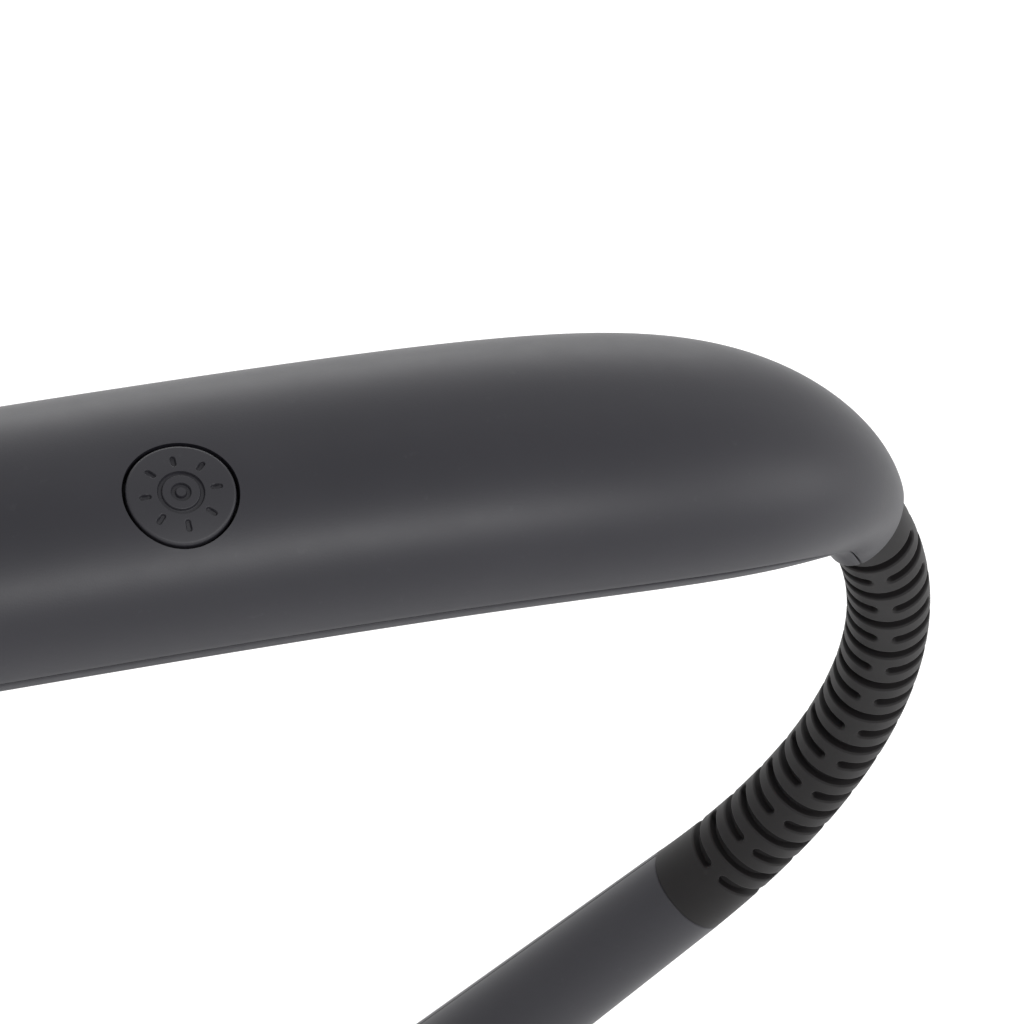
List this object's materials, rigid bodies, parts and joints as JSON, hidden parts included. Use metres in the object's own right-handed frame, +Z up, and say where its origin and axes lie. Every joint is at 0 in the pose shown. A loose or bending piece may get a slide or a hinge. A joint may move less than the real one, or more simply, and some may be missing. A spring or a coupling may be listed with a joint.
{
  "type": "clip-on reading lamp",
  "caption": "Clip-on reading lamp: a long rounded light-bar head with one brightness button, a slotted flexible neck, a round arm and a sprung clip.",
  "frame": {"origin": "centre of the flat underside of the lower jaw", "axes": "+Z up, square to that underside; +X from the head's free end towards the neck, in the plane of the neck; +Y to the rear, along the hinge pin"},
  "size_m": [0.1504, 0.0331, 0.1891],
  "materials": {
    "charcoal_plastic": "satin moulded ABS with a fine spark grain, very dark blue-grey",
    "button_plastic": "smooth matte ABS, same dark blue-grey",
    "black_rubber": "soft matte silicone rubber, near black",
    "grip_rubber": "ribbed matte rubber",
    "core_metal": "annealed aluminium bending core",
    "opal_diffuser": "opal white diffusing plastic",
    "light_pipe": "clear light pipe",
    "circuit_board": "solder-masked board",
    "led_resin": "phosphor resin",
    "black_resin": "moulded component resin",
    "cell_foil": "laminated pouch foil",
    "brass": "crimped brass",
    "steel": "plated steel"
  },
  "bodies": {
    "base": {"clip_lower_jaw": "charcoal_plastic", "lower_pad": "grip_rubber", "hinge_pin": "steel", "pin_clip": "steel", "torsion_spring": "steel"},
    "arm": {"clip_upper_jaw": "charcoal_plastic", "upper_pad": "grip_rubber", "arm_front_shell": "charcoal_plastic", "arm_rear_shell": "charcoal_plastic", "arm_screws": "steel", "arm_ferrule": "brass", "arm_foot_insert": "charcoal_plastic", "clip_screw": "steel", "sleeve_collar_arm": "black_rubber", "core_end_arm": "core_metal"},
    "neck_01": {"sleeve_segment_01": "black_rubber", "core_link_01": "core_metal"},
    "neck_02": {"sleeve_segment_02": "black_rubber", "core_link_02": "core_metal"},
    "neck_03": {"sleeve_segment_03": "black_rubber", "core_link_03": "core_metal"},
    "neck_04": {"sleeve_segment_04": "black_rubber", "core_link_04": "core_metal"},
    "neck_05": {"sleeve_segment_05": "black_rubber", "core_link_05": "core_metal"},
    "neck_06": {"sleeve_segment_06": "black_rubber", "core_link_06": "core_metal"},
    "neck_07": {"sleeve_segment_07": "black_rubber", "core_link_07": "core_metal"},
    "neck_08": {"sleeve_segment_08": "black_rubber", "core_link_08": "core_metal"},
    "neck_09": {"sleeve_segment_09": "black_rubber", "core_link_09": "core_metal"},
    "neck_10": {"sleeve_segment_10": "black_rubber", "core_link_10": "core_metal"},
    "neck_11": {"sleeve_segment_11": "black_rubber", "core_link_11": "core_metal"},
    "neck_12": {"sleeve_segment_12": "black_rubber", "core_link_12": "core_metal"},
    "neck_13": {"sleeve_segment_13": "black_rubber", "core_link_13": "core_metal"},
    "neck_14": {"sleeve_segment_14": "black_rubber", "core_link_14": "core_metal"},
    "head": {"head_top_shell": "charcoal_plastic", "head_bottom_shell": "charcoal_plastic", "light_diffuser": "opal_diffuser", "led_board": "circuit_board", "led_chips": "led_resin", "battery_cells": "cell_foil", "control_board": "circuit_board", "board_parts": "black_resin", "tact_switch": "steel", "usb_port": "steel", "charge_light_pipe": "light_pipe", "head_screws": "steel", "sleeve_collar_head": "black_rubber", "core_end_head": "core_metal", "head_ferrule": "brass"},
    "button": {"brightness_button": "button_plastic", "switch_plunger": "black_resin"}
  },
  "joints": [
    {"name": "clip_hinge", "type": "hinge", "parent": "base", "child": "arm", "pos_m": [0.016, 0, 0.0105], "axis": [0, 1, 0], "range_deg": [0, 30], "stiffness_Nm_per_rad": 0.4, "springref_deg": -28.65, "deforming": ["torsion_spring"]},
    {"name": "neck_bend", "type": "hinge", "parent": "arm", "child": "neck_01", "pos_m": [0.05748, 0, 0.08296], "axis": [0, 1, 0], "range_deg": [-2.3, 4.76]},
    {"name": "neck_bend_10", "type": "hinge", "parent": "neck_01", "child": "neck_02", "pos_m": [0.06126, 0, 0.08788], "axis": [0, 1, 0], "range_deg": [-2.23, 4.62]},
    {"name": "neck_bend_09", "type": "hinge", "parent": "neck_02", "child": "neck_03", "pos_m": [0.06463, 0, 0.09308], "axis": [0, 1, 0], "range_deg": [-2.34, 4.85]},
    {"name": "neck_swing", "type": "hinge", "parent": "neck_03", "child": "neck_04", "pos_m": [0.06609, 0, 0.09581], "axis": [0.8823, 0, -0.4708], "range_deg": [-8, 8]},
    {"name": "neck_bend_08", "type": "hinge", "parent": "neck_04", "child": "neck_05", "pos_m": [0.06755, 0, 0.09855], "axis": [0, 1, 0], "range_deg": [-2.46, 5.08]},
    {"name": "neck_bend_07", "type": "hinge", "parent": "neck_05", "child": "neck_06", "pos_m": [0.06997, 0, 0.10425], "axis": [0, 1, 0], "range_deg": [-2.57, 5.31]},
    {"name": "neck_swing_03", "type": "hinge", "parent": "neck_06", "child": "neck_07", "pos_m": [0.07091, 0, 0.10721], "axis": [0.9527, 0, -0.3039], "range_deg": [-8, 8]},
    {"name": "neck_bend_06", "type": "hinge", "parent": "neck_07", "child": "neck_08", "pos_m": [0.07185, 0, 0.11016], "axis": [0, 1, 0], "range_deg": [-2.68, 5.54]},
    {"name": "neck_bend_05", "type": "hinge", "parent": "neck_08", "child": "neck_09", "pos_m": [0.07316, 0, 0.11622], "axis": [0, 1, 0], "range_deg": [-2.79, 5.77]},
    {"name": "neck_swing_02", "type": "hinge", "parent": "neck_09", "child": "neck_10", "pos_m": [0.0735, 0, 0.1193], "axis": [0.9938, 0, -0.1111], "range_deg": [-8, 8]},
    {"name": "neck_bend_04", "type": "hinge", "parent": "neck_10", "child": "neck_11", "pos_m": [0.07384, 0, 0.12238], "axis": [0, 1, 0], "range_deg": [-2.9, 6]},
    {"name": "neck_bend_03", "type": "hinge", "parent": "neck_11", "child": "neck_12", "pos_m": [0.07389, 0, 0.12857], "axis": [0, 1, 0], "range_deg": [-3.01, 6.23]},
    {"name": "neck_swing_01", "type": "hinge", "parent": "neck_12", "child": "neck_13", "pos_m": [0.07357, 0, 0.13166], "axis": [0.9948, 0, 0.1021], "range_deg": [-8, 8]},
    {"name": "neck_bend_02", "type": "hinge", "parent": "neck_13", "child": "neck_14", "pos_m": [0.07325, 0, 0.13474], "axis": [0, 1, 0], "range_deg": [-3.12, 6.46]},
    {"name": "neck_bend_01", "type": "hinge", "parent": "neck_14", "child": "head", "pos_m": [0.07193, 0, 0.14079], "axis": [0, 1, 0], "range_deg": [-2.41, 4.99]},
    {"name": "button_press", "type": "slide", "parent": "head", "child": "button", "axis": [-0.1011, 0.1493, -0.9836], "range_m": [0, 0.0004], "stiffness_N_per_m": 4000, "springref_m": -0.0001}
  ],
  "couplings": [
    {"joint": "neck_bend_10", "follows": "neck_bend", "ratio": 0.9698},
    {"joint": "neck_bend_09", "follows": "neck_bend", "ratio": 1.0182},
    {"joint": "neck_bend_08", "follows": "neck_bend", "ratio": 1.0667},
    {"joint": "neck_bend_07", "follows": "neck_bend", "ratio": 1.1151},
    {"joint": "neck_swing_03", "follows": "neck_swing", "ratio": 1},
    {"joint": "neck_bend_06", "follows": "neck_bend", "ratio": 1.1635},
    {"joint": "neck_bend_05", "follows": "neck_bend", "ratio": 1.2119},
    {"joint": "neck_swing_02", "follows": "neck_swing", "ratio": 1},
    {"joint": "neck_bend_04", "follows": "neck_bend", "ratio": 1.2604},
    {"joint": "neck_bend_03", "follows": "neck_bend", "ratio": 1.3088},
    {"joint": "neck_swing_01", "follows": "neck_swing", "ratio": 1},
    {"joint": "neck_bend_02", "follows": "neck_bend", "ratio": 1.3572},
    {"joint": "neck_bend_01", "follows": "neck_bend", "ratio": 1.0482}
  ]
}
